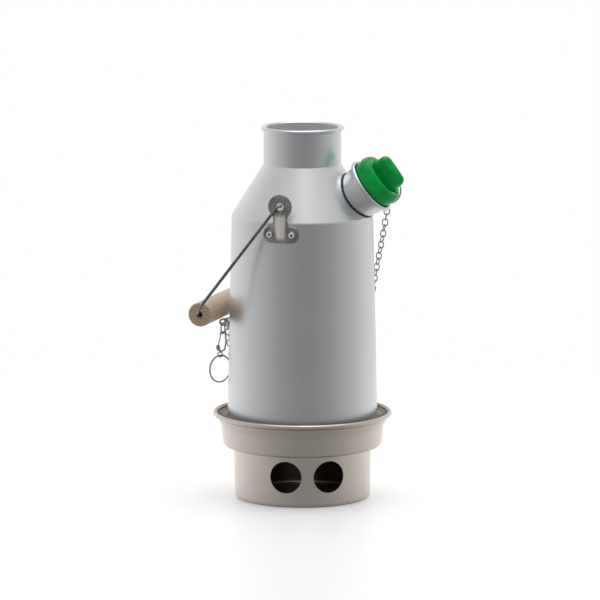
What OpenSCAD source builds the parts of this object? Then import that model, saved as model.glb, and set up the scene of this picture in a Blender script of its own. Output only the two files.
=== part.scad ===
// Storm kettle on its fire base, in millimetres.
// The origin is the centre of the base's underside, +Z is up, and the spout points along +X.
// The bail turns about an axis along Y.

/* [Fire base] */
// Outside radius of the fire bowl at its foot
bowl_foot_r = 52.9; // [50:0.1:54]
// Outside radius of the fire bowl under the ledge
bowl_top_r = 53.8; // [51:0.1:55]
// Sheet thickness of the fire base
base_sheet = 1; // [0.8:0.1:1.4]
// Height of the ledge that the kettle stands on
ledge_z = 42; // [38:1:60]
// Radial room between the kettle's foot and the dish
dish_room = 1.7; // [0.8:0.1:3]
// Height of the dish wall above the ledge, up to the flare
dish_h = 15; // [10:1:24]
// Widening of the dish wall over its height
dish_taper = 1.7; // [0:0.1:3]
// Height of the whole fire base
base_h = 68; // [66:1:76]
// Outside diameter of the rolled rim
base_rim_d = 140; // [138:1:146]
// Thickness of the rolled rim
base_bead_d = 3.6; // [2.6:0.1:4.4]
// Diameter of an air hole
air_hole_d = 25; // [16:1:28]
// Height of the air holes' centres
air_hole_z = 24; // [20:1:24]
// Angle between the two air holes
air_hole_spread = 37.1; // [34:0.1:50]
// Direction of the middle of the pair, from +X
air_hole_turn = -68.2; // [-110:0.1:-50]

/* [Kettle body] */
// Clearance between the kettle's foot and the ledge
seat_gap = 0.1; // [0.05:0.05:0.5]
// Outside radius of the shell at its foot
shell_foot_r = 59.2; // [58:0.1:61]
// How far the shoulder lies inside the foot's radius
shoulder_in = 4.1; // [2:0.1:6]
// Height of the shell from its foot to the shoulder
body_h = 180.5; // [176:0.5:210]
// Height of the cone above the shoulder
cone_h = 40; // [37:0.5:43]
// Height of the neck up to the middle of the rolled rim
neck_h = 27.7; // [20:0.1:40]
// Sheet thickness of the shell
shell_sheet = 1.1; // [0.8:0.1:1.5]
// Bend radius at the shoulder
shoulder_bend = 4; // [2:0.5:8]
// Thickness of the rolled rim round the chimney
rim_bead_d = 3.2; // [2.4:0.1:4]

/* [Flue] */
// Radius of the chimney's bore at the neck
chimney_r = 28.2; // [25:0.1:30]
// Width of the ring that closes the water jacket at the foot, from the shell's outside
jacket_w = 5.6; // [4:0.1:8]
// Sheet thickness of the flue
flue_sheet = 0.8; // [0.6:0.1:1.2]
// Height of the lip that seams the flue to the shell
flue_lip_h = 8; // [4:1:14]
// Clearance in the seams between flue and shell
seam_gap = 0.1; // [0.05:0.05:0.3]
// How far the flue's top lies under the top of the rim
flue_top_drop = 0.8; // [0.2:0.1:1.4]

/* [Spout] */
// Angle of the spout's axis above the horizontal
spout_rise = 36.5; // [33:0.5:40]
// Half angle of the spout's flare
spout_flare = 9; // [6:0.5:10]
// How far the mouth's centre lies outside the shoulder's radius
mouth_out = 1.8; // [0:0.1:5]
// Height of the mouth's centre above the shoulder
mouth_up = 25.4; // [23:0.1:28]
// Bore radius of the spout at its mouth
spout_bore_r = 20.2; // [19:0.1:21]
// Sheet thickness of the spout
spout_sheet = 1; // [0.8:0.1:1.4]
// Thickness of the rolled edge round the mouth
mouth_bead_d = 3; // [2:0.1:3.6]
// Width and height of the seal line round the spout's root
seal_w = 0.8; // [0.5:0.1:1.4]

/* [Stopper] */
// Radial clearance between the sealing ribs and the spout
plug_gap = 0.4; // [0.3:0.05:0.6]
// Length of the plug inside the spout
plug_len = 15; // [12:1:17]
// Wall thickness of the hollow plug
plug_wall = 2.4; // [1.8:0.1:3]
// How far a sealing rib stands out
rib_h = 0.7; // [0.4:0.1:1]
// Radius of the stopper's widest part
cap_r = 20.8; // [20:0.1:22]
// Height of the raised rim above the mouth
cap_rim_h = 12.2; // [11:0.1:14]
// Width of the raised rim
cap_rim_w = 6.6; // [5.6:0.1:7.4]
// Height of the groove's floor above the mouth
cap_floor_h = 8; // [7:0.1:9]
// Length of the finger bar
finger_len = 26.6; // [22:0.1:28]
// Thickness of the finger bar at its ends
finger_w = 10.6; // [9:0.1:12]
// Thickness of the finger bar in its middle
finger_mid_w = 14; // [12:0.1:15]
// Height of the finger bar's top above the mouth
finger_top = 24; // [21:0.1:26]
// Width of the slit along the finger bar's top
slit_w = 1.5; // [0.8:0.1:2]
// Depth of the slit
slit_h = 2.2; // [1:0.1:3]
// Diameter of the steam hole
steam_hole_d = 4.4; // [2:0.1:5]
// Distance from the stopper's axis to the tether hole
tether_out = 25; // [24.5:0.1:27]
// Diameter of the tether hole
tether_hole_d = 4.2; // [4.2:0.1:5]
// Thickness of the tether tab
tab_t = 2.2; // [2:0.1:2.4]
// Height of the middle of the tether tab above the mouth
tab_h = 6; // [5:0.1:7]
// Height of the whistle cup
whistle_h = 5; // [4:0.5:7]
// Diameter of the whistle holes
whistle_hole_d = 3; // [2:0.1:4]
// Sheet thickness of the whistle cup
whistle_sheet = 0.5; // [0.4:0.1:0.8]
// Clearance round the whistle cup
whistle_gap = 0.15; // [0.1:0.05:0.3]

/* [Tether and chain] */
// Outside diameter of the tether ring
tether_ring_d = 22; // [18:0.1:26]
// Wire thickness of the tether ring
tether_wire = 1.2; // [1:0.1:1.4]
// Play between the hanging pieces
hang_gap = 0.1; // [0.05:0.05:0.2]
// Play between the long loop's wire and the bottom of the lug's eye, which its swing needs
loop_play = 0.4; // [0.3:0.05:0.5]
// Length of a chain link, outside
link_len = 6.7; // [6.2:0.1:7.4]
// Width of a chain link, outside
link_w = 5.2; // [4.8:0.1:5.4]
// Wire thickness of a chain link
link_wire = 0.9; // [0.8:0.1:1]
// Play between two links along the chain
link_play = 0.15; // [0.1:0.05:0.3]
// Distance from the shell to the chain's middle
chain_off = 2.5; // [2.4:0.1:4]
// Height of the chain's lowest point above the kettle's foot
chain_low = 32; // [26:1:50]
// Sag length of the chain's curve round the body
chain_sag = 53; // [48:1:60]
// Direction in which the chain meets the body, from +X
chain_start_a = 36.6; // [33:0.1:42]
// Direction of the chain's lowest point
chain_low_a = 121.9; // [118:0.1:126]
// Direction in which the chain leaves the body
chain_end_a = 175; // [172:0.5:176]

/* [Ears] */
// Sheet thickness of an ear
ear_sheet = 1.2; // [1:0.1:1.6]
// Width of an ear's foot plate
ear_foot_w = 28.8; // [26:0.1:32]
// Height of an ear's foot plate
ear_foot_h = 12.8; // [11:0.1:14]
// Depth of the foot plate's middle under the shoulder
ear_foot_drop = 8.6; // [8:0.1:12]
// Diameter of an ear's eye
ear_eye_d = 19; // [16:0.1:20]
// Height of the eye's middle above the shoulder
ear_eye_up = 13.4; // [12.5:0.1:15]
// Diameter of the hole for the bail
ear_hole_d = 6; // [5:0.1:6.4]
// Gap between the eye and the shoulder's radius
ear_stand = 1.7; // [1.2:0.1:2.4]
// Width of an ear's neck under the eye
ear_neck_w = 13; // [10:0.1:15]
// Width of an ear's neck where it runs out on the foot plate
ear_neck_foot_w = 5; // [4:0.1:8]
// Distance between an ear's two rivets
ear_rivet_pitch = 17.8; // [16:0.1:20]
// Diameter of a rivet's head
rivet_head_d = 6; // [5:0.1:6.6]
// Diameter of a rivet's shank
rivet_shank_d = 3; // [2.4:0.1:3.6]

/* [Bail and grip] */
// Wire thickness of the bail
bail_wire_d = 2.4; // [2:0.1:3]
// Height of the resting grip's axis above the kettle's foot
grip_up = 104.9; // [96:0.1:112]
// How far the bail's wire lies off the middle of the ears' holes, towards -X
bail_shift = 1.4; // [0:0.1:1.6]
// Gap between an ear and a leg of the bail
bail_side_gap = 1.2; // [0.8:0.1:2]
// Bend radius beside the grip
bail_bend = 14; // [9:0.5:14]
// Bend radius at the pivot
pivot_bend = 2; // [1.5:0.1:2.4]
// Length of the bail's ends inside the ears
bail_tail = 5; // [3:0.1:6]
// Diameter of the upset heads on the bail's ends
bail_head_d = 3.2; // [2.8:0.1:3.4]
// Thickness of the heads on the bail's ends
bail_head_t = 1; // [0.8:0.1:1.4]
// Diameter of the grip
grip_d = 18.8; // [16:0.1:20]
// Length of the grip
grip_len = 91; // [80:1:96]
// Diameter of the grip's bore
grip_bore_d = 5; // [4:0.1:5.6]
// Rounding of the grip's ends
grip_round = 1.6; // [0.8:0.1:3]
// Gap between the resting grip and the shell's widest part
grip_gap = 0.9; // [0.9:0.1:3]

/* [Rear lug and snap hook] */
// Turn of the rear lug from -X towards -Y
lug_turn = 2.5; // [0:0.1:5]
// Distance from the lug's middle to each of its fins
fin_off = 2.5; // [2.3:0.1:3.2]
// Thickness of the lug's plate and fins
lug_sheet = 1.2; // [1:0.1:1.3]
// Distance of the loop's eye from the shell
loop_eye_out = 6.8; // [6.6:0.1:7]
// Distance of the chain's eye from the shell
chain_eye_out = 4.1; // [4:0.1:4.4]
// Depth of the eyes under the grip's axis
eye_drop = 11.5; // [11.5:0.1:14]
// Radius of the holes in the fins
eye_hole_r = 1.6; // [1.5:0.05:1.7]
// Rim of sheet round the holes in the fins
eye_rim = 1.3; // [1.1:0.1:1.4]
// Width of the lug's foot plate
lug_foot_w = 24; // [22:0.1:28]
// Height of the lug's foot plate
lug_foot_h = 9; // [8:0.1:11]
// Distance between the lug's two rivets
lug_rivet_pitch = 17; // [15:0.1:19]
// Length of the loop link, outside
loop_len = 9.6; // [9:0.1:10.4]
// Width of the loop link, outside
loop_w = 5.5; // [5:0.1:5.8]
// Wire thickness of the loop link
loop_wire = 1.1; // [1:0.1:1.2]
// Turn of the loop link about its own length
loop_twist = -25; // [-30:1:0]
// Wire thickness of the snap hook
hook_wire = 1.4; // [1.3:0.1:1.5]
// Length of the snap hook from its top to its bottom bend
hook_len = 16; // [15.4:0.1:18]
// Wire thickness of the gate
gate_wire = 0.9; // [0.8:0.1:1]
// Radius of the eye under the snap hook, to the wire's middle
hook_eye_r = 1.9; // [1.8:0.1:2.2]
// Outside diameter of the pull ring
pull_ring_d = 22.3; // [18:0.1:24]
// Wire thickness of the pull ring
pull_ring_wire = 1.3; // [1.1:0.1:1.5]
// Turn of the pull ring's plane from the hook's plane
pull_ring_turn = 55; // [50:1:70]

/* [Hidden] */
$fn = 64;

// Steps in which a rounded corner of a profile is drawn
bend_steps = 6;
// Overlap that fuses two shapes of one piece
fuse = 0.05;

steel = [0.62, 0.61, 0.58];
alu = [0.78, 0.79, 0.80];
green = [0.05, 0.62, 0.22];
beech = [0.82, 0.66, 0.48];
black = [0.08, 0.08, 0.08];

// Heights of the kettle's main levels
kettle_z = ledge_z + seat_gap;
shoulder_r = shell_foot_r - shoulder_in;
flue_foot_r = shell_foot_r - jacket_w;
shoulder_z = kettle_z + body_h;
neck_z = shoulder_z + cone_h;
rim_z = neck_z + neck_h;
neck_r = chimney_r + flue_sheet + seam_gap + shell_sheet;
rim_bead_r = neck_r - shell_sheet - fuse + rim_bead_d / 2;

// Outside radius of the shell's wall at a height below the shoulder
function shell_r(z) = shell_foot_r + (shoulder_r - shell_foot_r) * (z - kettle_z) / body_h;

// The ear's eye, and the bail's pivot, reach, rest angle from upright and resting grip
pivot_z = shoulder_z + ear_eye_up;
ear_face = shoulder_r + ear_stand + ear_sheet;
leg_y = ear_face + bail_side_gap + bail_wire_d / 2;
grip_x = shell_foot_r + grip_d / 2 + grip_gap;
grip_z = kettle_z + grip_up;
// The grip hangs on the wire with the top of its bore
grip_sag = (grip_bore_d - bail_wire_d) / 2 - hang_gap;
bail_len = norm([grip_x - bail_shift, pivot_z - grip_z - grip_sag]);
bail_rest = 90 + acos((grip_x - bail_shift) / bail_len);

// The rear lug's eyes: q is the distance from the kettle's axis
eye_z = grip_z - eye_drop;
loop_q = shell_r(eye_z) + loop_eye_out;
chain_q = shell_r(eye_z) + chain_eye_out;
loop_top_z = eye_z - eye_hole_r + loop_wire / 2 + loop_play;
hook_top_z = loop_top_z - loop_len + 1.5 * loop_wire + hook_wire / 2 + hang_gap;

// Bore radius of the spout at a distance t outwards from its mouth
function bore_r(t) = spout_bore_r + t * tan(spout_flare);

// The stopper's tether hole and the ring that hangs in it, at a slant through the tab
tether_r = (tether_ring_d - tether_wire) / 2;
tether_slip = tether_hole_d / 2 - 2 * hang_gap
    - tab_t / 2 * tan(spout_rise) - tether_wire / 2 / cos(spout_rise);
mouth = [shoulder_r + mouth_out, 0, shoulder_z + mouth_up];
tether_top = mouth + tab_h * [cos(spout_rise), 0, sin(spout_rise)]
    + tether_slip * [sin(spout_rise), 0, -cos(spout_rise)] + [0, tether_out, 0];
tether_mid = tether_top - [0, 0, tether_r];

// Vector helpers
function unit(v) = v / norm(v);
function turned(v, a) = [v.x * cos(a) - v.y * sin(a), v.x * sin(a) + v.y * cos(a)];
function left_of(v) = [-v.y, v.x];

// Points of the arc that rounds the corner b between a and c with radius r
function corner(a, b, c, r) =
    let(
        u = unit(a - b),
        v = unit(c - b),
        half = acos(u * v) / 2,
        start = b + u * r / tan(half),
        mid = b + unit(u + v) * r / sin(half),
        side = sign(cross(-u, v))
    )
    [for (i = [0:bend_steps]) mid + turned(start - mid, side * (180 - 2 * half) * i / bend_steps)];

// A path of [x, y, bend radius] with its corners rounded
function rounded(p) = [
    for (i = [0:len(p) - 1])
        let(b = [p[i].x, p[i].y])
        each (i == 0 || i == len(p) - 1 || p[i].z == 0)
            ? [b]
            : corner([p[i - 1].x, p[i - 1].y], b, [p[i + 1].x, p[i + 1].y], p[i].z)
];

// The same path moved sideways by t, to its left where t is positive
function beside(p, t) = [
    for (i = [0:len(p) - 1])
        let(
            a = left_of(unit(p[max(i, 1)] - p[max(i, 1) - 1])),
            j = min(i, len(p) - 2),
            b = left_of(unit(p[j + 1] - p[j]))
        )
        p[i] + (a + b) * t / (1 + a * b)
];

function backwards(p) = [for (i = [len(p) - 1:-1:0]) p[i]];

// Sheet of thickness t to the left of a path
module sheet(p, t) {
    polygon(concat(p, backwards(beside(p, t))));
}

// A round ring about Z, measured to the wire's middle
module ring(r, d) {
    rotate_extrude() translate([r, 0]) circle(d = d);
}

// Straight wire between two points of the XY plane, rolled about its own length
module straight(a, b, d, roll = 0) {
    v = b - a;
    translate([a.x, a.y, 0]) rotate([0, 0, atan2(v.y, v.x)]) rotate([0, 90, 0])
        rotate([0, 0, roll]) cylinder(h = norm(v), d = d);
}

// Wire along a path of [x, y, bend radius] in the XY plane. The roll of its straight runs keeps
// their seams off the bends' seams.
module wire(p, d) {
    n = len(p) - 1;
    flat = [for (q = p) [q.x, q.y]];
    cut = [
        for (i = [0:n])
            (i == 0 || i == n) ? 0
            : let(half = acos(unit(flat[i - 1] - flat[i]) * unit(flat[i + 1] - flat[i])) / 2)
                p[i].z / tan(half)
    ];
    for (i = [0:n - 1]) {
        along = unit(flat[i + 1] - flat[i]);
        straight(flat[i] + along * cut[i], flat[i + 1] - along * cut[i + 1], d, 90);
    }
    for (i = [1:n - 1]) {
        u = unit(flat[i - 1] - flat[i]);
        v = unit(flat[i + 1] - flat[i]);
        half = acos(u * v) / 2;
        mid = flat[i] + unit(u + v) * p[i].z / sin(half);
        first = cross(-u, v) > 0 ? u * cut[i] + flat[i] - mid : v * cut[i] + flat[i] - mid;
        translate([mid.x, mid.y, 0]) rotate([0, 0, atan2(first.y, first.x)])
            rotate_extrude(angle = 180 - 2 * half) translate([p[i].z, 0]) circle(d = d);
    }
}

// Wire along a path in the XY plane, swept in one piece with flat ends
module swept_wire(path, d) {
    sides = 12;
    n = len(path);
    dots = [
        for (i = [0:n - 1])
            let(
                along = unit(path[min(i + 1, n - 1)] - path[max(i - 1, 0)]),
                out = left_of(along) * d / 2
            )
            for (k = [0:sides - 1])
                let(a = 360 * (k + 0.5) / sides)
                [path[i].x + out.x * cos(a), path[i].y + out.y * cos(a), d / 2 * sin(a)]
    ];
    walls = [
        for (i = [0:n - 2], k = [0:sides - 1])
            let(
                a = i * sides + k,
                b = i * sides + (k + 1) % sides,
                c = a + sides,
                e = b + sides
            )
            each [[a, c, b], [b, c, e]]
    ];
    start_cap = [for (k = [1:sides - 2]) [0, k, k + 1]];
    end_cap = [for (k = [1:sides - 2]) [(n - 1) * sides, (n - 1) * sides + k + 1, (n - 1) * sides + k]];
    polyhedron(dots, concat(walls, start_cap, end_cap));
}

// Oval link in the XY plane, its length along X
module link(length, width, d) {
    r = (width - d) / 2;
    reach = (length - width) / 2;
    for (side = [0, 180]) rotate([0, 0, side]) {
        translate([reach, 0, 0]) rotate([0, 0, -90])
            rotate_extrude(angle = 180) translate([r, 0]) circle(d = d);
        straight([-reach, r], [reach, r], d);
    }
}

// Puts the children in the mouth's frame: +Z along the spout's axis, outwards
module at_mouth() {
    translate(mouth) rotate([0, 90 - spout_rise, 0]) children();
}

// Puts the children in the lug's frame: +X outwards, away from the body
module at_lug() {
    rotate([0, 0, 180 + lug_turn]) children();
}

// Puts the children upright in a plane of the lug's frame: x is q, y is the height
module in_hook_plane(side) {
    at_lug() translate([0, -side, 0]) rotate([90, 0, 0]) children();
}

// Outside line of the shell, from its foot to the rolled rim
shell_line = rounded([
    [shell_foot_r, kettle_z, 0],
    [shoulder_r, shoulder_z, shoulder_bend],
    [neck_r, neck_z, shoulder_bend / 2],
    [neck_r, rim_z, 0]
]);

// Solid of everything inside the shell's outside line, grown by t
module shell_envelope(t) {
    rotate_extrude() polygon(concat([[0, kettle_z]], beside(shell_line, -t), [[0, rim_z]]));
}

// Curved band on the shell between two distances from its wall
module shell_band(z0, z1, near, far) {
    rotate_extrude() polygon([
        [shell_r(z0) + near, z0], [shell_r(z0) + far, z0],
        [shell_r(z1) + far, z1], [shell_r(z1) + near, z1]
    ]);
}

// Flat obround outline, w wide and h high
module obround(w, h) {
    for (side = [-1, 1]) translate([side * (w - h) / 2, 0]) circle(d = h);
    square([w - h, h], center = true);
}

// Turns about Z that put two rivets a pitch apart on a shell of radius r
function rivet_turns(pitch, r) = [for (side = [-1, 1]) side * asin(pitch / 2 / r)];

// Rivet along +X from inside the shell to the plate's face at radius r
module rivet(plate_r, plate_sheets) {
    r = plate_r + seam_gap;
    sheets = plate_sheets + seam_gap;
    head_h = rivet_head_d / 4;
    sphere_r = (pow(rivet_head_d / 2, 2) + head_h * head_h) / (2 * head_h);
    inner_h = rivet_shank_d / 4;
    rotate([0, 90, 0]) {
        intersection() {
            translate([0, 0, r + head_h - sphere_r]) sphere(sphere_r);
            translate([0, 0, r]) cylinder(h = head_h + 1, d = rivet_head_d + 1);
        }
        translate([0, 0, r - sheets - inner_h]) cylinder(h = sheets + inner_h + fuse, d = rivet_shank_d);
        translate([0, 0, r - sheets - inner_h]) cylinder(h = inner_h, d = rivet_shank_d * 1.5);
    }
}

// Holes for a pair of rivets, along +X
module rivet_holes(pitch, r) {
    for (a = rivet_turns(pitch, r)) rotate([0, 0, a]) rotate([0, 90, 0])
        translate([0, 0, r / 2]) cylinder(h = r, d = rivet_shank_d + 2 * fuse);
}

// Places of the ears' and the lug's rivets
ear_foot_z = shoulder_z - ear_foot_drop;
ear_plate_r = shell_r(ear_foot_z) + seam_gap + ear_sheet;
lug_plate_r = shell_r(eye_z) + seam_gap + lug_sheet;

module all_rivet_holes() {
    for (a = [-90, 90]) rotate([0, 0, a]) translate([0, 0, ear_foot_z])
        rivet_holes(ear_rivet_pitch, ear_plate_r);
    at_lug() translate([0, 0, eye_z]) rivet_holes(lug_rivet_pitch, lug_plate_r);
}

module fire_base() {
    ledge_under = ledge_z - base_sheet;
    dish_r = shell_foot_r + dish_room + base_sheet;
    flare_z = ledge_z + dish_h;
    bead_r = base_rim_d / 2 - base_bead_d / 2;
    bead_z = base_h - base_bead_d / 2;
    line = rounded([
        [0, 0, 0],
        [bowl_foot_r, 0, 3],
        [bowl_top_r, ledge_under, 1.5],
        [dish_r, ledge_under, 3],
        [dish_r + dish_taper, flare_z, 6],
        [bead_r, bead_z, 0]
    ]);
    color(steel) difference() {
        rotate_extrude() {
            sheet(line, base_sheet);
            translate([bead_r, bead_z]) circle(d = base_bead_d);
        }
        for (side = [-1, 1]) rotate([0, 0, air_hole_turn + side * air_hole_spread / 2])
            translate([bowl_foot_r / 2, 0, air_hole_z]) rotate([0, 90, 0])
                cylinder(h = bowl_foot_r, d = air_hole_d);
    }
}

module outer_shell() {
    color(alu) difference() {
        rotate_extrude() {
            sheet(shell_line, shell_sheet);
            translate([rim_bead_r, rim_z]) circle(d = rim_bead_d);
        }
        at_mouth() translate([0, 0, -spout_reach])
            cylinder(h = spout_reach, r1 = bore_r(-spout_reach), r2 = bore_r(0));
        all_rivet_holes();
    }
}

module flue() {
    lip_r = shell_foot_r - shell_sheet - 2 * seam_gap;
    lip_top = kettle_z + flue_lip_h;
    lip_top_r = shell_r(lip_top) - shell_sheet - 2 * seam_gap;
    top_z = rim_z + rim_bead_d / 2 - flue_top_drop;
    line = rounded([
        [lip_top_r, lip_top, 0],
        [lip_r, kettle_z, 1],
        [flue_foot_r, kettle_z, 1.5],
        [chimney_r, neck_z - shoulder_bend, 6],
        [chimney_r, top_z, 0]
    ]);
    color(alu) rotate_extrude() sheet(line, -flue_sheet);
}

// Length of spout tube that reaches inside the shell before it is trimmed
spout_reach = 32;

// Half section of the spout's wall between two distances from its bore, up to a distance t
module spout_wall(near, far, t) {
    polygon([
        [bore_r(-spout_reach) + near, -spout_reach], [bore_r(-spout_reach) + far, -spout_reach],
        [bore_r(t) + far, t], [bore_r(t) + near, t]
    ]);
}

module spout() {
    bead_t = -mouth_bead_d / 2;
    color(alu) difference() {
        at_mouth() rotate_extrude() {
            spout_wall(0, spout_sheet, bead_t);
            translate([bore_r(bead_t) - fuse + mouth_bead_d / 2, bead_t]) circle(d = mouth_bead_d);
        }
        shell_envelope(0);
    }
}

module spout_seal() {
    color(black) difference() {
        intersection() {
            at_mouth() rotate_extrude()
                spout_wall(spout_sheet, spout_sheet + seal_w, -mouth_bead_d);
            shell_envelope(seal_w);
        }
        shell_envelope(0);
    }
}

// Radius of the plug between its ribs at a distance t from the mouth, and of its hollow
function plug_r(t) = bore_r(t) - plug_gap - rib_h;
hollow_r = plug_r(-plug_len) - plug_wall;

// Dome of a radius r that is h high
module resize_sphere(r, h) {
    rotate_extrude($fn = 32) intersection() {
        scale([1, h / r]) circle(r);
        translate([0, -h]) square([r, 2 * h]);
    }
}

module stopper() {
    roof = cap_floor_h - plug_wall;
    finger_r = finger_w / 2;
    finger_mid_r = finger_mid_w / 2;
    finger_x = finger_len / 2 - finger_r;
    rim_in = cap_r - cap_rim_w - 1;
    hole_x = finger_len / 2 + 0.6;
    body = rounded([
        [0, -plug_len, 0],
        [plug_r(-plug_len), -plug_len, 1],
        [plug_r(-1), -1, 0.6],
        [plug_r(0) + rib_h, 0, 0.6],
        [cap_r, cap_floor_h - 1, 5],
        [cap_r - 2, cap_rim_h, 2.8],
        [rim_in + 1, cap_rim_h, 2.2],
        [rim_in - 0.6, cap_floor_h, 1.4],
        [0, cap_floor_h, 0]
    ]);
    color(green) at_mouth() difference() {
        union() {
            rotate_extrude() polygon(body);
            for (i = [1:3]) let(t = -i * plug_len / 4) translate([0, 0, t])
                rotate_extrude() translate([plug_r(t) - rib_h, 0]) circle(r = 2 * rib_h);
            hull() for (end = [[-finger_x, finger_r], [0, finger_mid_r], [finger_x, finger_r]]) {
                translate([end.x, 0, finger_top - finger_r]) resize_sphere(end[1], finger_r);
                translate([end.x, 0, cap_floor_h - 1]) cylinder(h = 1, r = end[1], $fn = 32);
            }
            translate([0, 0, tab_h - tab_t / 2]) linear_extrude(tab_t) {
                translate([0, tether_out]) circle(r = tether_hole_d);
                translate([-tether_hole_d, plug_r(0)])
                    square([2 * tether_hole_d, tether_out - plug_r(0)]);
            }
        }
        translate([0, 0, -plug_len - 1]) cylinder(h = plug_len + 1 + roof, r = hollow_r);
        translate([0, tether_out, 0]) cylinder(h = cap_rim_h, d = tether_hole_d);
        translate([hole_x, 0, 0]) cylinder(h = cap_rim_h + 1, d = steam_hole_d);
        translate([-finger_x, -slit_w / 2, finger_top - slit_h])
            cube([finger_x + finger_len / 2, slit_w, slit_h + 1]);
    }
}

module whistle_cup() {
    r = hollow_r - whistle_gap;
    hole = whistle_hole_d / 2;
    top = -plug_len / 2 + whistle_h;
    line = rounded([
        [hole, top - whistle_h, 0],
        [r, top - whistle_h, 0.8],
        [r, top, 0.8],
        [hole, top, 0]
    ]);
    color(steel) at_mouth() rotate_extrude() sheet(line, whistle_sheet);
}

module tether_ring() {
    color(steel) translate(tether_mid) rotate([90, 0, 0]) ring(tether_r, tether_wire);
}

// The chain's middle line: down from the tether ring, round the body in a hanging curve,
// and up to the lug. Angles are in degrees from +X, and the curve hangs on the unrolled body.
unroll_r = shell_foot_r;
chain_low_z = kettle_z + chain_low;
link_half = link_len / 2 - link_wire;
chain_from = tether_mid - [0, 0, tether_r - tether_wire / 2 - hang_gap + link_half];
chain_to_z = eye_z - eye_hole_r + hang_gap - link_half;
lug_dir = 180 + lug_turn;
chain_to = [chain_q * cos(lug_dir) - fin_off * sin(lug_turn),
    chain_q * sin(lug_dir) + fin_off * cos(lug_turn), chain_to_z];

function hang_z(a) =
    let(x = unroll_r * (a - chain_low_a) * PI / 180 / chain_sag)
    chain_low_z + chain_sag * ((exp(x) + exp(-x)) / 2 - 1);
// Points of the line as [direction, height, distance from the kettle's axis]
function hang_point(a) = let(z = hang_z(a)) [a, z, shell_r(z) + chain_off];
function polar(p) = [atan2(p.y, p.x) + (p.x < 0 && p.y < 0 ? 360 : 0), p.z, norm([p.x, p.y])];
function mix(a, b, f) = a + (b - a) * f;
function softened(p, n) =
    n == 0 ? p
    : softened([
        for (i = [0:len(p) - 1])
            i == 0 || i == len(p) - 1 ? p[i] : (p[i - 1] + 2 * p[i] + p[i + 1]) / 4
    ], n - 1);

hang_steps = 60;
soft_passes = 14;
chain_polar = softened(concat(
    [for (i = [0:17]) mix(polar(chain_from), hang_point(chain_start_a), i / 18)],
    [for (i = [0:hang_steps]) hang_point(mix(chain_start_a, chain_end_a, i / hang_steps))],
    [for (i = [1:8]) mix(hang_point(chain_end_a), polar(chain_to), i / 8)]
), soft_passes);
chain_line = [for (p = chain_polar) [p.z * cos(p.x), p.z * sin(p.x), p.y]];

// Length along the line up to each of its points
function lengths(p, i = 0, sum = 0, out = []) =
    i == len(p) ? out
    : let(s = sum + (i == 0 ? 0 : norm(p[i] - p[i - 1])))
        lengths(p, i + 1, s, concat(out, [s]));
chain_marks = lengths(chain_line);
chain_len = chain_marks[len(chain_marks) - 1];
chain_table = [
    for (axis = [0:2]) [for (i = [0:len(chain_line) - 1]) [chain_marks[i], chain_line[i][axis]]]
];
function chain_point(s) = [for (axis = [0:2]) lookup(s, chain_table[axis])];

// An even number of pitches, so that the first and last link lie alike
link_count = 2 * round(chain_len / (2 * (link_len - 2 * link_wire - link_play)));
link_pitch = chain_len / link_count;

// Roll of a link about the chain: square at both ends, 45 degrees where it lies on the body
function link_roll(i) =
    45 * min(1, i / 6, (link_count - i) / 4) + (i % 2 == 0 ? 0 : 90);

module chain() {
    color(steel) for (i = [0:link_count]) {
        s = i * link_pitch;
        place = chain_point(s);
        along = unit(chain_point(s + 1) - chain_point(s - 1));
        outward = unit([place.x, place.y, 0]);
        across = unit(cross(along, outward));
        up = cross(along, across);
        width = across * cos(link_roll(i)) + up * sin(link_roll(i));
        face = cross(along, width);
        multmatrix([
            [along.x, width.x, face.x, place.x],
            [along.y, width.y, face.y, place.y],
            [along.z, width.z, face.z, place.z],
            [0, 0, 0, 1]
        ]) link(link_len, link_w, link_wire);
    }
}

// Slice of the ear's creased neck, w wide, its sheet's middle at a distance r, its edges set back
module neck_slice(w, r, z, edge_back) {
    translate([0, -r, z]) linear_extrude(0.4)
        polygon([[-w / 2, edge_back], [0, -ear_sheet - 0.6 + edge_back], [w / 2, edge_back]]);
}

// The ear on the -Y side: a foot plate bent to the shell, a creased neck and a flat eye
module ear() {
    back = ear_face - ear_sheet;
    neck_foot = ear_foot_z - ear_foot_h / 4;
    neck_top = pivot_z - ear_eye_d / 4;
    difference() {
        union() {
            intersection() {
                shell_band(ear_foot_z - ear_foot_h, ear_foot_z + ear_foot_h, seam_gap,
                    seam_gap + ear_sheet);
                translate([0, 0, ear_foot_z]) rotate([90, 0, 0])
                    linear_extrude(2 * shoulder_r) obround(ear_foot_w, ear_foot_h);
            }
            translate([0, -back, pivot_z]) rotate([90, 0, 0]) cylinder(h = ear_sheet, d = ear_eye_d);
            hull() {
                neck_slice(ear_neck_foot_w, ear_plate_r, neck_foot, 0.6);
                neck_slice(ear_neck_w * 0.9, ear_plate_r + 0.2, ear_foot_z + ear_foot_h / 4, 0.6);
                neck_slice(ear_neck_w, back, neck_top, 0);
            }
        }
        translate([0, 0, pivot_z]) rotate([90, 0, 0]) cylinder(h = 2 * shoulder_r, d = ear_hole_d);
        rotate([0, 0, -90]) translate([0, 0, ear_foot_z]) rivet_holes(ear_rivet_pitch, ear_plate_r);
        shell_envelope(seam_gap);
    }
}

module ear_rivets() {
    for (a = rivet_turns(ear_rivet_pitch, ear_plate_r)) rotate([0, 0, a - 90])
        translate([0, 0, ear_foot_z])
            rivet(ear_plate_r, ear_sheet + seam_gap + shell_sheet + 2 * seam_gap);
}

module near_ear() {
    color(steel) ear();
}

module far_ear() {
    color(steel) mirror([0, 1, 0]) ear();
}

module near_ear_rivets() {
    color(steel) ear_rivets();
}

module far_ear_rivets() {
    color(steel) mirror([0, 1, 0]) ear_rivets();
}

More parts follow.
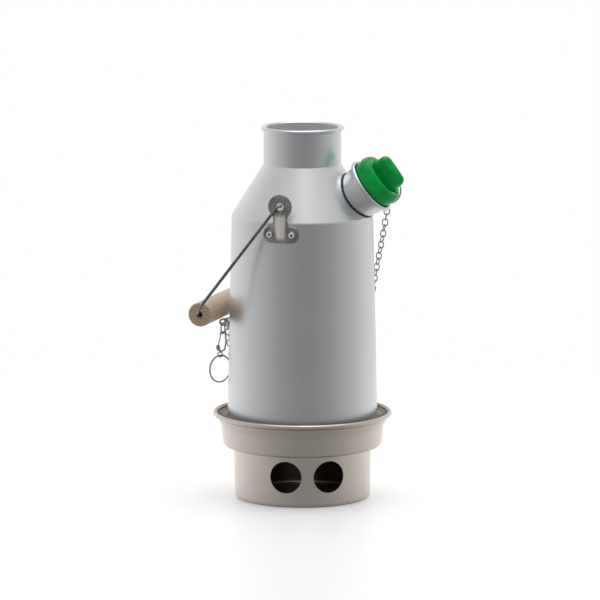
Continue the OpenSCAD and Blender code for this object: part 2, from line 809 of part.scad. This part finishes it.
// Puts the children in the bail's frame at rest: X across the kettle, Y along the legs
module at_bail() {
    translate([-bail_shift, 0, pivot_z]) rotate([0, -bail_rest, 0]) rotate([90, 0, 90]) children();
}

module bail_wire() {
    end_y = ear_face - ear_sheet - bail_tail;
    head_y = end_y + bail_head_t / 2;
    color(steel) at_bail() {
        wire([
            [-head_y, 0, 0], [-leg_y, 0, pivot_bend], [-leg_y, bail_len, bail_bend],
            [leg_y, bail_len, bail_bend], [leg_y, 0, pivot_bend], [head_y, 0, 0]
        ], bail_wire_d);
        for (side = [-1, 1]) translate([side * head_y, 0, 0]) rotate([0, 90, 0])
            cylinder(h = bail_head_t, d = bail_head_d, center = true);
    }
}

module wooden_grip() {
    line = rounded([
        [grip_bore_d / 2, -grip_len / 2, 0],
        [grip_d / 2, -grip_len / 2, grip_round],
        [grip_d / 2, grip_len / 2, grip_round],
        [grip_bore_d / 2, grip_len / 2, 0]
    ]);
    color(beech) translate([-grip_x, 0, grip_z]) rotate([90, 0, 0]) rotate_extrude() polygon(line);
}

// One fin of the lug, in the hook plane
module fin(q, side) {
    r = eye_hole_r + eye_rim;
    in_hook_plane(side) translate([0, 0, -lug_sheet / 2]) linear_extrude(lug_sheet) difference() {
        union() {
            translate([q, eye_z]) circle(r);
            polygon([
                [lug_plate_r - lug_sheet / 2, eye_z - r - 1], [q, eye_z - r],
                [q, eye_z + r], [lug_plate_r - lug_sheet / 2, eye_z + r + 0.6]
            ]);
        }
        translate([q, eye_z]) circle(eye_hole_r);
    }
}

module rear_lug() {
    color(steel) {
        difference() {
            intersection() {
                shell_band(eye_z - lug_foot_h, eye_z + lug_foot_h, seam_gap, seam_gap + lug_sheet);
                at_lug() translate([0, 0, eye_z]) rotate([90, 0, 90])
                    linear_extrude(2 * shell_foot_r) obround(lug_foot_w, lug_foot_h);
            }
            at_lug() translate([0, 0, eye_z]) rivet_holes(lug_rivet_pitch, lug_plate_r);
        }
        fin(loop_q, -fin_off);
        fin(chain_q, fin_off);
    }
}

module rear_lug_rivets() {
    color(steel) at_lug() for (a = rivet_turns(lug_rivet_pitch, lug_plate_r)) rotate([0, 0, a])
        translate([0, 0, eye_z])
            rivet(lug_plate_r, lug_sheet + seam_gap + shell_sheet + 2 * seam_gap);
}

module lug_loop() {
    mid_z = loop_top_z + loop_wire / 2 - loop_len / 2;
    color(steel) at_lug() translate([loop_q, fin_off, mid_z]) rotate([0, 0, loop_twist])
        rotate([0, 90, 90]) rotate([90, 0, 0]) link(loop_len, loop_w, loop_wire);
}

// Points of the snap hook in its plane: the bow hangs in the loop, and the gate turns at its foot
hook_bow = 1.95;
hook_shoulder = 7.2;
hook_bottom_z = hook_top_z - hook_len;
hook_foot = [loop_q + 3.2, hook_bottom_z];
gate_foot = [loop_q + 3.9, hook_bottom_z + 4.2];
nose = [loop_q + hook_bow, hook_top_z - hook_bow - 0.6];
hook_eye = [loop_q + 2.2, hook_bottom_z - hook_eye_r - 0.2];

// The gate's pin, the slot that the gate turns in and the cheeks beside it
pin_d = 0.8;
pin_gap = 0.05;
slot_w = 1.1;
cheek_r = 1.2;
cheek_w = 2.4;

module snap_hook() {
    back = hook_foot - gate_foot;
    color(steel) in_hook_plane(-fin_off) difference() {
        union() {
            swept_wire(rounded([
                [nose.x, nose.y, 0],
                [loop_q + hook_bow, hook_top_z, hook_bow - 0.05],
                [loop_q - hook_bow, hook_top_z, hook_bow - 0.05],
                [loop_q - 2.6, hook_top_z - hook_shoulder, 6],
                [loop_q - 1.4, hook_bottom_z + 1.6, 2.4],
                [hook_foot.x, hook_foot.y, 1.6],
                [gate_foot.x, gate_foot.y, 0]
            ]), hook_wire);
            translate([hook_eye.x, hook_eye.y, 0]) ring(hook_eye_r, gate_wire);
            translate([gate_foot.x, gate_foot.y, 0]) rotate([0, 0, atan2(back.y, back.x)])
                linear_extrude(cheek_w, center = true) {
                    circle(cheek_r);
                    translate([0, -cheek_r]) square([2.5 * cheek_r, 2 * cheek_r]);
                }
        }
        translate([gate_foot.x, gate_foot.y, 0]) {
            cylinder(h = slot_w, r = cheek_r + 0.5, center = true);
            cylinder(h = 2 * cheek_w, d = pin_d + 2 * pin_gap, center = true);
        }
    }
}

module snap_gate() {
    color(steel) in_hook_plane(-fin_off) difference() {
        union() {
            straight(gate_foot, nose - [0, 0.3], gate_wire);
            translate([gate_foot.x, gate_foot.y, 0])
                cylinder(h = slot_w - 0.3, r = cheek_r - 0.1, center = true);
        }
        translate([gate_foot.x, gate_foot.y, 0])
            cylinder(h = cheek_w, d = pin_d + 2 * pin_gap, center = true);
    }
}

module gate_pin() {
    color(steel) in_hook_plane(-fin_off) translate([gate_foot.x, gate_foot.y, 0]) {
        cylinder(h = cheek_w + 0.4, d = pin_d, center = true);
        for (side = [-1, 1]) translate([0, 0, side * (cheek_w / 2 + 0.25)])
            cylinder(h = 0.4, d = 2 * pin_d, center = true);
    }
}

module pull_ring() {
    r = (pull_ring_d - pull_ring_wire) / 2;
    inner = hook_eye_r - gate_wire / 2 - pull_ring_wire / 2 - hang_gap;
    color(steel) in_hook_plane(-fin_off) translate([hook_eye.x, hook_eye.y - inner - r, 0])
        rotate([0, pull_ring_turn, 0]) ring(r, pull_ring_wire);
}

fire_base();
outer_shell();
flue();
spout();
spout_seal();
stopper();
whistle_cup();
tether_ring();
chain();
near_ear();
far_ear();
near_ear_rivets();
far_ear_rivets();
bail_wire();
wooden_grip();
rear_lug();
rear_lug_rivets();
lug_loop();
snap_hook();
snap_gate();
gate_pin();
pull_ring();
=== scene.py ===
# %% [markdown]
# # A storm kettle on its fire base
# A storm kettle is a water jacket wrapped round a chimney. A fire of sticks burns in the bowl
# below, its flames go up through the middle, and the water is poured from a side spout that a
# silicone stopper closes. The frame holds every piece at its real size and place. This file
# gives each piece its finish, and makes finer surfaces where the eye comes close. Everything is
# in metres, in the frame's own axes: +Z up, +X towards the spout.

# %% Load the frame
import math

import bmesh
import bpy
import numpy as np
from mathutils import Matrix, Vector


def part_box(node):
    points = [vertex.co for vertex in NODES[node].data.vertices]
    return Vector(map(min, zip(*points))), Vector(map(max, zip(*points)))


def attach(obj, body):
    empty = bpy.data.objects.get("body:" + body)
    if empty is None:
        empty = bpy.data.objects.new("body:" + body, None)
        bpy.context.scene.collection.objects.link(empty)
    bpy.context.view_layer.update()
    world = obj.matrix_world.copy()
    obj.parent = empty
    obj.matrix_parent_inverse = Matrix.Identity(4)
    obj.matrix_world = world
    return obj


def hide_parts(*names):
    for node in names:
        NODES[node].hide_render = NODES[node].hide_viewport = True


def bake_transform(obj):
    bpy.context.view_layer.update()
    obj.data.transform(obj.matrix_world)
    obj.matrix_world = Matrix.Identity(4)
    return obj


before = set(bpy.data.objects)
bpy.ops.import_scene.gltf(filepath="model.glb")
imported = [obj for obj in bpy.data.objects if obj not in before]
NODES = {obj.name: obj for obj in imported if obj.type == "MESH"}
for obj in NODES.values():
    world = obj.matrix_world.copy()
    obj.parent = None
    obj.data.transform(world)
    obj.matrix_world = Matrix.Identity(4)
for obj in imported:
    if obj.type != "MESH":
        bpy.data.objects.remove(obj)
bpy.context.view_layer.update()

bpy.context.scene.view_settings.view_transform = "Standard"
print("pieces in the frame:", len(NODES))

# %% [markdown]
# ## The camera
# The photograph was taken from well back with a long lens, a little above the kettle, with the
# spout to the right. An object is easiest to compare with its photograph when the camera stands
# where the photographer stood, so the place, the turn and the lens are values found by fitting
# the rims, the shoulder and the foot.

# %% Camera
CAMERA_PLACE = (1.203, -3.815, 0.778)
CAMERA_DOWN = 8.85
CAMERA_TURN = 17.5
CAMERA_LENS = 311.3
CAMERA_SHIFT = -0.0043


def place_camera():
    """A camera at the photographer's place, tilted down and turned towards the kettle."""
    data = bpy.data.cameras.new("camera")
    data.lens = CAMERA_LENS
    data.sensor_width = 36
    data.shift_x = CAMERA_SHIFT
    data.clip_end = 50
    camera = bpy.data.objects.new("camera", data)
    camera.location = CAMERA_PLACE
    camera.rotation_euler = (math.radians(90 - CAMERA_DOWN), 0, math.radians(CAMERA_TURN))
    bpy.context.scene.collection.objects.link(camera)
    bpy.context.scene.camera = camera
    return camera


camera = place_camera()
print("camera distance:", round(camera.location.length, 2), "m")

# %% [markdown]
# ## Materials as Python expressions
# A finish is a small network of nodes. Wiring it by hand takes many lines, so three helpers do
# it: `Signal` wraps a socket, and arithmetic on it adds Math nodes. `Network` adds any other
# node. `Finish` is a material with one shader. What stays the same all over a surface is a plain
# number on the shader, and only what changes over the surface is linked.


# %% Signal
class Signal:
    """An output socket of a network. Arithmetic on it adds a Math node."""

    def __init__(self, network, socket):
        self.network = network
        self.socket = socket

    def math(self, operation, a, b=0.0):
        return self.network.node("ShaderNodeMath", {"operation": operation}, {0: a, 1: b})

    def __add__(self, other):
        return self.math("ADD", self, other)

    def __radd__(self, other):
        return self.math("ADD", other, self)

    def __sub__(self, other):
        return self.math("SUBTRACT", self, other)

    def __rsub__(self, other):
        return self.math("SUBTRACT", other, self)

    def __mul__(self, other):
        return self.math("MULTIPLY", self, other)

    def __rmul__(self, other):
        return self.math("MULTIPLY", other, self)

    def __pow__(self, other):
        return self.math("POWER", self, other)

    def __gt__(self, edge):
        return self.math("GREATER_THAN", self, edge)

    def __abs__(self):
        return self.math("ABSOLUTE", self)

    def at_least(self, floor):
        """The signal, or the floor where the signal is lower."""
        return self.math("MAXIMUM", self, floor)

    def sine(self):
        return self.math("SINE", self)

    def ease(self, low, high):
        """Smooth step: 0 up to low, 1 from high."""
        return self.network.node(
            "ShaderNodeMapRange",
            {"interpolation_type": "SMOOTHSTEP"},
            {"Value": self, "From Min": low, "From Max": high},
        )


# %% Network and Finish
class Network:
    """A node tree, and short ways to add to it."""

    def __init__(self, tree):
        self.nodes = tree.nodes
        self.links = tree.links

    def put(self, socket, value):
        """Links a signal into a socket, or sets the socket's own value."""
        if isinstance(value, Signal):
            self.links.new(value.socket, socket)
        elif isinstance(value, tuple) and socket.type == "RGBA":
            socket.default_value = (*value, 1)
        else:
            socket.default_value = value

    def node(self, kind, settings=None, sockets=None, output=0):
        """Adds a node: its settings first, then the values or links of its sockets."""
        made = self.nodes.new(kind)
        for name, value in (settings or {}).items():
            setattr(made, name, value)
        for key, value in (sockets or {}).items():
            self.put(made.inputs[key], value)
        return Signal(self, made.outputs[output])

    def vector(self, x, y, z):
        """A vector from its three numbers."""
        return self.node("ShaderNodeCombineXYZ", sockets={0: x, 1: y, 2: z})

    def parts(self, vector):
        """The three numbers of a vector."""
        first = self.node("ShaderNodeSeparateXYZ", sockets={0: vector})
        return [Signal(self, first.socket.node.outputs[i]) for i in range(3)]

    def noise(self, vector, scale, detail=3.0):
        """Soft noise, about 0.5 on average."""
        return self.node(
            "ShaderNodeTexNoise", sockets={"Vector": vector, "Scale": scale, "Detail": detail}
        )

    def mix(self, factor, first, second):
        """Colour mix: the first where the factor is 0, the second where it is 1."""
        made = self.node("ShaderNodeMix", {"data_type": "RGBA"}, {0: factor}, output=2)
        for socket, value in zip(made.socket.node.inputs[6:8], (first, second)):
            self.put(socket, value)
        return made


def socket_name(words):
    """The shader's own name of a socket that is written in lower case with underscores."""
    return words.replace("_", " ").title().replace("Ior", "IOR")


class Finish(Network):
    """A material with one Principled shader."""

    def __init__(self, name, **fixed):
        self.material = bpy.data.materials.new(name)
        self.material.use_nodes = True
        super().__init__(self.material.node_tree)
        self.shader = self.nodes["Principled BSDF"]
        self.feed(**fixed)

    def feed(self, **sockets):
        """Gives the shader's sockets their values or links, by name."""
        for words, value in sockets.items():
            self.put(self.shader.inputs[socket_name(words)], value)

    def colour(self):
        """The signal that feeds the base colour."""
        return Signal(self, self.shader.inputs["Base Color"].links[0].from_socket)

    def place(self):
        """The x, y and z of a point of the surface, in metres."""
        return self.parts(self.node("ShaderNodeTexCoord", output="Object"))

    def bump(self, height, strength, distance):
        """Bends the normal by a height from 0 to 1, over a distance in metres."""
        sockets = {"Strength": strength, "Distance": distance, "Height": height}
        self.feed(normal=self.node("ShaderNodeBump", sockets=sockets))

    def wear(self, *names):
        """Puts this finish on CAD nodes."""
        for name in names:
            slots = NODES[name].data.materials
            slots.clear()
            slots.append(self.material)


def radius(x, y, x0=0.0, y0=0.0):
    """Distance from an axis that stands at x0, y0."""
    return ((x - x0) ** 2 + (y - y0) ** 2) ** 0.5


# %% [markdown]
# ## Spun and drawn metal
# The body is spun: a disc of aluminium is pressed over a turning former, which leaves rings so
# fine that they only soften the shine. The fire base is drawn from stainless steel and brushed
# round its axis. Both finishes are noise that changes with the height and the distance from the
# axis, but not round it. So it makes rings, and a slow second noise varies the tone. The inside of
# the bowl and the dish is darkened with painted shade, and a line of painted shadow lies under the
# rolled rim. Inside and outside are told apart by the distance to the axis: it is less than that
# of the middle of the wall at the same height.


# %% Turned metal
def turned_metal(name, colour, shade, rough, ring_scale, ring_depth, painted_shade=None):
    """Metal with fine rings round +Z, which change colour, roughness and height a little.

    painted_shade is a function that gives the share of painted shade from the distance to the axis
    and the height.
    """
    finish = Finish(name, metallic=1.0)
    x, y, z = finish.place()
    across = radius(x, y)
    rings = finish.noise(finish.vector(across, z, 0.0), ring_scale, 4.0)
    clouds = finish.noise(finish.vector(x, y, z), 22.0)
    tone = rings * 0.5 + clouds * 0.5
    metal = finish.mix(tone, shade, colour)
    # painted shade: the metal is darker where the function gives a share of shade
    if painted_shade is not None:
        metal = finish.mix(painted_shade(across, z), metal, PAINTED_SHADE_COLOUR)
    finish.feed(base_color=metal, roughness=rough + (tone - 0.5) * 0.22)
    finish.bump(rings, 0.25, ring_depth)
    return finish


# colour of the painted shade in the bowl and the dish, and of the painted shadow under the rim
PAINTED_SHADE_COLOUR = (0.20, 0.165, 0.135)
DISH_FLOOR_Z = 0.0415
DISH_FLARE_Z = 0.057
DISH_FLARE_R = 0.063
BOWL_TOP_Z = 0.040
BOWL_FOOT_R = 0.0521
RIM_SHADOW_Z = 0.0641
RIM_SHADOW_R = 0.0655


def base_painted_shade(across, z):
    """Painted shade inside the bowl and the dish, and a line of painted shadow under the rolled
    rim.

    The dish's wall is a line that leans out by 0.113, and by 0.4 more above the flare. The bowl's
    leans out by 0.03.
    """
    above = z - DISH_FLARE_Z
    dish_wall = above * 0.113 + above.at_least(0.0) * 0.4 + DISH_FLARE_R
    bowl_wall = z * 0.03 + BOWL_FOOT_R
    # painted shade inside the dish and the bowl
    dish_shade = (dish_wall - across > 0.0) * (z > DISH_FLOOR_Z)
    bowl_shade = (bowl_wall - across > 0.0) * (BOWL_TOP_Z - z).ease(0.0, 0.004)
    # painted shadow line under the rolled rim
    rim_shadow = (1.0 - abs(z - RIM_SHADOW_Z).ease(0.0003, 0.0009)) * (across > RIM_SHADOW_R)
    return dish_shade * 0.62 + bowl_shade * 0.85 + rim_shadow * 0.55


spun_aluminium = turned_metal(
    "spun_aluminium", (0.78, 0.795, 0.81), (0.70, 0.715, 0.73), 0.36, 2600.0, 0.00002
)
spun_aluminium.wear("outer_shell", "spout")

brushed_base = turned_metal(
    "brushed_base", (0.77, 0.70, 0.635), (0.65, 0.585, 0.52), 0.30, 2100.0, 0.00003, base_painted_shade
)
brushed_base.wear("fire_base")

drawn_flue = turned_metal(
    "drawn_flue", (0.93, 0.94, 0.97), (0.86, 0.87, 0.90), 0.50, 1500.0, 0.00003
)
drawn_flue.wear("flue")
print("turned metals:", "spun_aluminium, brushed_base, drawn_flue")

# %% [markdown]
# ## Stamped steel
# The ears, the lug and the rivets are pressed from thin stainless sheet, which comes darker and
# less even than the spun body. The same maker of finishes serves all small steel. The ears get
# more: a fine wave round the pivot's axis, and a painted highlight that makes the neck pale and
# matt. Their rivets get a painted highlight too: a bright ring round a dark middle.


# %% Small steel
EAR_EYE_D = 0.019
PIVOT_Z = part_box("near_ear")[1].z - EAR_EYE_D / 2


def small_steel(name, colour, shade, rough):
    """Plain steel with cloudy tone and fine pits."""
    finish = Finish(name, metallic=1.0)
    x, y, z = finish.place()
    clouds = finish.noise(finish.vector(x, y, z), 140.0)
    pits = finish.noise(finish.vector(x, y, z), 900.0, 2.0)
    finish.feed(
        base_color=finish.mix(clouds.ease(0.3, 0.7), shade, colour),
        roughness=rough + (pits - 0.5) * 0.3,
    )
    finish.bump(pits, 0.2, 0.00003)
    return finish


# %% Ears and their rivets
NECK_FOOT_Z = PIVOT_Z - 0.0285
EYE_WAVE = 5200.0
RIVET_X = 0.0089
RIVET_Z = PIVOT_Z - 0.022


def stamped_ear():
    """Steel with press rings on the eye, and a pale, matt painted highlight down the middle below
    it.
    """
    finish = small_steel("stamped_ear", (0.44, 0.43, 0.41), (0.28, 0.275, 0.26), 0.33)
    x, y, z = finish.place()
    from_pivot = radius(x, z, 0.0, PIVOT_Z)
    up = z - NECK_FOOT_Z
    beside = (abs(x) - up * 0.06).ease(0.0018, 0.0046)
    # painted highlight: a pale, matt band down the neck
    neck_highlight = (1.0 - beside) * up.ease(0.0, 0.006) * (1.0 - up.ease(0.019, 0.024))
    finish.feed(
        base_color=finish.mix(neck_highlight, finish.colour(), (0.80, 0.76, 0.72)),
        metallic=1.0 - neck_highlight * 0.75,
    )
    eye = 1.0 - from_pivot.ease(0.0088, 0.0098)
    rings = (from_pivot * EYE_WAVE).sine() * 0.5 + 0.5
    finish.bump(rings * eye, 0.55, 0.00025)
    return finish


def rivets_with_painted_ring():
    """Rivet heads that are dark in the middle and at the edge, with a pale band of painted
    highlight between.
    """
    finish = small_steel("ear_rivets", (0.30, 0.30, 0.295), (0.22, 0.22, 0.215), 0.26)
    x, y, z = finish.place()
    away = radius(abs(x), z, RIVET_X, RIVET_Z)
    # painted highlight: a pale, less metallic band round the rivet's middle
    ring_highlight = away.ease(0.0010, 0.0014) * (1.0 - away.ease(0.0020, 0.0025))
    finish.feed(
        base_color=finish.mix(ring_highlight, finish.colour(), (0.90, 0.90, 0.89)),
        metallic=1.0 - ring_highlight * 0.6,
    )
    return finish


# %% Small steel, worn
small_steel("lug_steel", (0.50, 0.49, 0.47), (0.36, 0.35, 0.34), 0.34).wear("rear_lug")
small_steel("rivet_steel", (0.56, 0.56, 0.55), (0.42, 0.42, 0.41), 0.26).wear("rear_lug_rivets")
rivets_with_painted_ring().wear("near_ear_rivets", "far_ear_rivets")
small_steel("bail_steel", (0.27, 0.26, 0.25), (0.17, 0.165, 0.16), 0.20).wear("bail_wire")
small_steel("hook_steel", (0.44, 0.44, 0.43), (0.31, 0.31, 0.305), 0.27).wear(
    "lug_loop", "snap_hook", "snap_gate", "gate_pin", "pull_ring"
)
chain_steel = small_steel("chain_steel", (0.46, 0.46, 0.45), (0.32, 0.32, 0.315), 0.28)
chain_steel.wear("tether_ring")
small_steel("whistle_steel", (0.62, 0.62, 0.61), (0.50, 0.50, 0.49), 0.30).wear("whistle_cup")

# %% [markdown]
# ## Silicone, and the bead of painted shade at the spout's root
# The stopper is moulded silicone: bright green, smooth and a little waxy. Its gloss is kept low,
# because a strong one would lay the white of the studio over the green. A thin black bead round
# the spout's root is painted shade: it stands in for the shadow in the gap there.


# %% Silicone, and the bead of shade at the spout's root
def silicone():
    """Green silicone: a slow change of tone and very fine moulding grain."""
    finish = Finish("green_silicone", ior=1.43, specular_ior_level=0.2)
    x, y, z = finish.place()
    clouds = finish.noise(finish.vector(x, y, z), 90.0)
    grain = finish.noise(finish.vector(x, y, z), 2400.0, 2.0)
    finish.feed(
        base_color=finish.mix(clouds.ease(0.3, 0.7), (0.0, 0.29, 0.045), (0.0, 0.40, 0.075)),
        roughness=0.24 + (grain - 0.5) * 0.2,
    )
    finish.bump(grain, 0.1, 0.00003)
    return finish


def shadow_gap_bead():
    """Matt black bead that stands in for the shadow in the gap at the spout's root, with a
    slightly uneven skin.
    """
    finish = Finish("shadow_gap_bead")
    x, y, z = finish.place()
    skin = finish.noise(finish.vector(x, y, z), 500.0)
    finish.feed(
        base_color=finish.mix(skin, (0.012, 0.012, 0.013), (0.03, 0.03, 0.032)),
        roughness=0.55 + (skin - 0.5) * 0.3,
    )
    finish.bump(skin, 0.3, 0.0001)
    return finish


green_silicone = silicone()
# painted shade: a black bead in the gap round the spout's root
shadow_gap_bead().wear("spout_seal")

# %% [markdown]
# ## Soft edges on moulded and stamped pieces
# Silicone comes out of its mould with no sharp edge: the finger bar flows into the cap, and the
# tab into the rim. A stamped ear is rounded by the press in the same way. The frame's solids have
# the true sizes but crisp meetings. A copy of the solid is filled with small cubes (a voxel
# remesh), which joins all its faces into one even skin, and a few rounds of averaging then soften
# every edge alike. The finer the cubes, the smaller the rounding.


# %% Soft copies
def merged_copy(node, name):
    """A copy of a frame node whose loose triangles are joined at their corners."""
    mesh = NODES[node].data.copy()
    mesh.name = name
    mesh.materials.clear()
    form = bmesh.new()
    form.from_mesh(mesh)
    bmesh.ops.remove_doubles(form, verts=form.verts, dist=0.000004)
    form.to_mesh(mesh)
    form.free()
    made = bpy.data.objects.new(name, mesh)
    bpy.context.scene.collection.objects.link(made)
    return made


def applied(made):
    """Makes a piece's modifiers part of its mesh."""
    view = bpy.context.evaluated_depsgraph_get()
    mesh = bpy.data.meshes.new_from_object(made.evaluated_get(view))
    made.modifiers.clear()
    made.data = mesh
    mesh.shade_smooth()
    return made


def softened(made, cube, rounds):
    """Remeshes a piece with cubes of an edge, then averages its surface a few rounds."""
    remesh = made.modifiers.new("remesh", "REMESH")
    remesh.mode = "VOXEL"
    remesh.voxel_size = cube
    average = made.modifiers.new("average", "SMOOTH")
    average.factor = 0.5
    average.iterations = rounds
    return applied(made)


def thinned(made, share):
    """Keeps a share of a piece's triangles, and drops those that its shape needs least."""
    thin = made.modifiers.new("thin", "DECIMATE")
    thin.ratio = share
    return applied(made)


def points_of(mesh):
    """The mesh's points as an array with one row for each."""
    flat = np.empty(len(mesh.vertices) * 3)
    mesh.vertices.foreach_get("co", flat)
    return flat.reshape(-1, 3)


def dress(made, finish, slot, *nodes):
    """Gives a new piece its material and hides the nodes that it stands for."""
    made.data.materials.append(finish.material)
    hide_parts(*nodes)
    print(made.name + ":", len(made.data.polygons), "faces")


# %% Stopper
stopper = softened(merged_copy("stopper", "moulded_stopper"), cube=0.0004, rounds=4)
dress(stopper, green_silicone, "green_silicone", "stopper")
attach(stopper, "stopper")

# %% [markdown]
# ## Ears
# Each ear is one stamping: a foot plate bent round the body, a creased neck and a round eye, in
# which the press leaves fine rings. The rings are real dents here: a wave of the distance from
# the eye's axis moves the points of the eye's flat face in and out. It fades at the hole and at
# the eye's edge.

# %% Ears
RING_PITCH = 0.00125
RING_DEPTH = 0.00014
RINGS_FROM = 0.0034
RINGS_TO = 0.0092
EAR_FACE_Y = {-1: -0.058, 1: 0.058}


def press_rings(made, side):
    """Moves the eye's outer face along Y by a cosine of the distance from the eye's axis."""
    points = points_of(made.data)
    away = np.hypot(points[:, 0], points[:, 2] - PIVOT_Z)
    on_face = side * points[:, 1] > side * EAR_FACE_Y[side] - 0.0004
    fade_in = np.clip((away - RINGS_FROM) / 0.0006, 0, 1)
    fade_out = np.clip((RINGS_TO - away) / 0.0008, 0, 1)
    wave = np.cos((away - RINGS_FROM) * math.tau / RING_PITCH)
    points[:, 1] += side * RING_DEPTH * wave * (fade_in * fade_out) * on_face
    made.data.vertices.foreach_set("co", points.ravel())
    made.data.update()


ear_finish = stamped_ear()
for node, side in (("near_ear", -1), ("far_ear", 1)):
    ear = softened(merged_copy(node, "stamped_" + node), cube=0.00025, rounds=3)
    press_rings(ear, side)
    dress(ear, ear_finish, "ear_steel", node)
    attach(ear, "kettle")

# %% [markdown]
# ## The chain
# The chain hangs from the stopper's tether ring, round the far side of the body, to the rear lug.
# The solid's links have more triangles than the eye needs, so a share of them goes.

# %% Chain
chain = thinned(merged_copy("chain", "link_chain"), share=0.6)
dress(chain, chain_steel, "chain_steel", "chain")
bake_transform(chain)

# %% [markdown]
# ## Beech
# The grip is turned from a beech dowel. Growth rings are shells round the pith of the tree, so a
# sine of the distance from a line beside the grip makes them: they run along the grip as streaks
# and show as arcs on the end grain, which drinks the oil and is darker.

# %% Beech
GRIP_LOW, GRIP_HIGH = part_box("wooden_grip")
GRIP_MID = (GRIP_LOW + GRIP_HIGH) / 2
GRIP_HALF = (GRIP_HIGH.y - GRIP_LOW.y) / 2
PITH = (GRIP_MID.x + 0.004, GRIP_MID.z - 0.006)
RING_STEP = 0.0026


def turned_beech():
    """Growth rings about a pith beside the grip, long fibres, short dark flecks and end grain."""
    finish = Finish("turned_beech", specular_ior_level=0.35)
    x, y, z = finish.place()
    sway = finish.noise(finish.vector(x, y * 0.12, z), 55.0, 2.0)
    rings = ((radius(x, z, *PITH) + sway * 0.004) * (math.tau / RING_STEP)).sine() * 0.5 + 0.5
    fibres = finish.noise(finish.vector(x, y * 0.03, z), 1500.0, 4.0)
    flecks = finish.noise(finish.vector(x, y * 0.12, z), 1900.0, 1.0).ease(0.64, 0.74)
    end_grain = abs(y - GRIP_MID.y) > GRIP_HALF - 0.0006
    pale = finish.mix(rings * 0.55 + fibres * 0.45, (0.74, 0.58, 0.45), (0.62, 0.465, 0.345))
    streaked = finish.mix(flecks * 0.45, pale, (0.30, 0.17, 0.10))
    end = finish.mix(rings, (0.50, 0.375, 0.265), (0.37, 0.265, 0.175))
    finish.feed(
        base_color=finish.mix(end_grain, streaked, end),
        roughness=0.52 + (fibres - 0.5) * 0.25,
    )
    finish.bump(fibres * 0.8 + rings * 0.2, 0.25, 0.0001)
    return finish


turned_beech().wear("wooden_grip")

# %% [markdown]
# ## The floor and the light
# The photograph is a studio shot on white: the kettle stands on a white sweep, its sides pick up
# white from both sides and from above, and its middle mirrors the darker room round the camera.
# A world that is darker towards the camera gives just that, with one wide lamp overhead for the
# soft shadow. The floor is a pale disc, and its own glow for the camera lifts it to white. In the
# metal's mirror the floor carries on the light of the room behind it, as a sweep does.

# %% Floor
FLOOR_R = 0.62
FLOOR_GLOW = 0.27
TO_CAMERA = (math.sin(math.radians(CAMERA_TURN)), -math.cos(math.radians(CAMERA_TURN)))
HORIZON_MID = 0.62
HORIZON_SWING = 0.37
HORIZON_LEFT = 0.03


def disc(name, r, z, steps=96):
    """A flat disc: one ring of points on a circle, and one face."""
    turn = np.linspace(0, math.tau, steps, endpoint=False)
    rim = np.stack([r * np.cos(turn), r * np.sin(turn), np.full(steps, z)], axis=1)
    mesh = bpy.data.meshes.new(name)
    mesh.from_pydata(rim.tolist(), [], [list(range(steps))])
    made = bpy.data.objects.new(name, mesh)
    bpy.context.scene.collection.objects.link(made)
    return made


def horizon_level(x, y):
    """Level of the light that comes in level from the direction x, y: dark towards the camera."""
    to_camera = x * TO_CAMERA[0] + y * TO_CAMERA[1]
    to_right = x * -TO_CAMERA[1] + y * TO_CAMERA[0]
    return HORIZON_MID - to_camera * HORIZON_SWING - to_right * HORIZON_LEFT


def floor_finish():
    """Pale matt floor that glows for the camera, and carries the room's light in the metal."""
    finish = Finish("floor", roughness=0.35, specular_ior_level=0.3)
    x, y, z = finish.place()
    speck = finish.noise(finish.vector(x, y, z), 60.0)
    rays = finish.node("ShaderNodeLightPath").socket.node.outputs
    seen = Signal(finish, rays["Is Camera Ray"])
    mirrored = Signal(finish, rays["Is Glossy Ray"])
    pale = finish.mix(speck, (0.87, 0.87, 0.87), (0.89, 0.89, 0.89))
    away = radius(x, y) + 0.0001
    room = horizon_level(x * away**-1.0, y * away**-1.0)
    finish.feed(base_color=finish.mix(mirrored, pale, (0.0, 0.0, 0.0)))
    glow = finish.node(
        "ShaderNodeEmission",
        sockets={"Color": (1.0, 1.0, 1.0), "Strength": seen * FLOOR_GLOW + mirrored * room},
    )
    matt = Signal(finish, finish.shader.outputs[0])
    both = finish.node("ShaderNodeAddShader", sockets={0: matt, 1: glow})
    finish.put(finish.nodes["Material Output"].inputs["Surface"], both)
    return finish


floor = disc("floor", FLOOR_R, -0.0002)
floor.data.materials.append(floor_finish().material)

# %% World
SKY_LEVEL = 0.62


def studio_world():
    """Light from behind, darker evenly towards the camera, and white to the camera itself."""
    world = bpy.data.worlds.new("studio")
    world.use_nodes = True
    net = Network(world.node_tree)
    x, y, z = net.parts(net.node("ShaderNodeTexCoord", output="Generated"))
    horizon = horizon_level(x, y)
    level = horizon + (SKY_LEVEL - horizon) * z.ease(0.25, 0.75)
    rays = net.node("ShaderNodeLightPath").socket.node.outputs
    seen = Signal(net, rays["Is Camera Ray"])
    back = net.nodes["Background"]
    grey = net.node("ShaderNodeCombineColor", sockets={0: level, 1: level, 2: level})
    net.put(back.inputs["Color"], grey)
    room = Signal(net, back.outputs[0])
    white = net.node("ShaderNodeBackground", sockets={"Color": (1.0, 1.0, 1.0), "Strength": 1.0})
    both = net.node("ShaderNodeMixShader", sockets={0: seen, 1: room, 2: white})
    net.put(net.nodes["World Output"].inputs["Surface"], both)
    bpy.context.scene.world = world


studio_world()


# %% Lamps
def softbox(name, place, aim, width, power):
    """A square lamp that faces a point."""
    data = bpy.data.lights.new(name, "AREA")
    data.size = width
    data.energy = power
    lamp = bpy.data.objects.new(name, data)
    lamp.location = place
    towards = np.array(aim) - np.array(place)
    flat = math.hypot(towards[0], towards[1])
    lamp.rotation_euler = (math.atan2(flat, -towards[2]), 0, math.atan2(-towards[0], towards[1]))
    bpy.context.scene.collection.objects.link(lamp)


softbox("overhead", place=(0.05, 0.1, 1.6), aim=(0, 0, 0.15), width=1.2, power=9)
